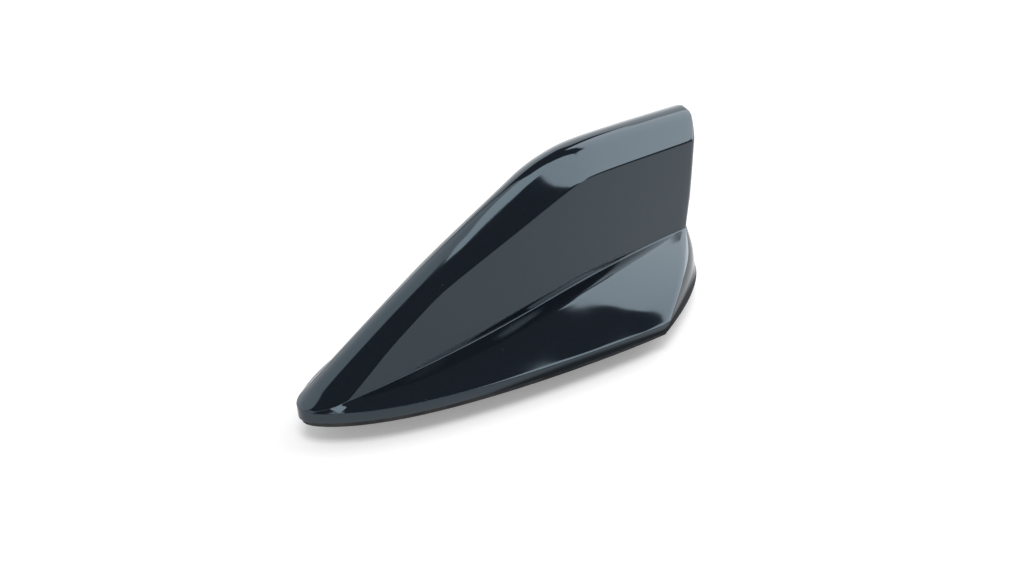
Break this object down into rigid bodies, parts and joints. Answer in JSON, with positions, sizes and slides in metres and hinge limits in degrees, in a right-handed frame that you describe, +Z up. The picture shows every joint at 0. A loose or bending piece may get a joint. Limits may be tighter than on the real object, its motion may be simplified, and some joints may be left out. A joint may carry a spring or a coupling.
{
  "type": "gps antenna",
  "caption": "Gloss black fin-shaped roof antenna: hollow moulded cover over a cast base with rubber pad, fixing foot, circuit board, satellite patch, phone blade and radio coil.",
  "frame": {"origin": "middle of the overall length and width at the lower face of the fixing foot", "axes": "+Z up away from the roof, -X to the pointed nose and +X to the fin's rear edge, -Y to the left side"},
  "size_m": [0.151, 0.0668, 0.0629],
  "materials": {
    "cover": "high gloss",
    "rubber": "matte",
    "foam": "matte",
    "cast_alloy": "as cast",
    "brass": "machined",
    "ivory_plastic": "moulded",
    "plated_contact": "plated",
    "board": "solder mask",
    "patch_ceramic": "fired",
    "tape": "matte",
    "tinned_metal": "tinned",
    "chip_plastic": "matte",
    "sheet_metal": "rolled",
    "black_plastic": "moulded",
    "copper_wire": "drawn",
    "screw_steel": "zinc plated"
  },
  "bodies": {
    "root": {"fin_cover": "cover", "seal_pad": "rubber", "foot_seal": "foam", "base_plate": "cast_alloy", "fixing_insert": "brass", "socket_block": "ivory_plastic", "socket_shells": "plated_contact", "socket_pins": "plated_contact", "main_board": "board", "gps_patch": "patch_ceramic", "patch_tape": "tape", "patch_feed_pin": "tinned_metal", "amplifier_shield": "tinned_metal", "board_components": "chip_plastic", "phone_blade": "sheet_metal", "antenna_carrier": "black_plastic", "coil_former": "ivory_plastic", "radio_coil": "copper_wire", "top_load_plate": "sheet_metal", "foam_strip": "foam", "board_screws": "screw_steel", "cover_screws": "screw_steel"}
  },
  "joints": []
}
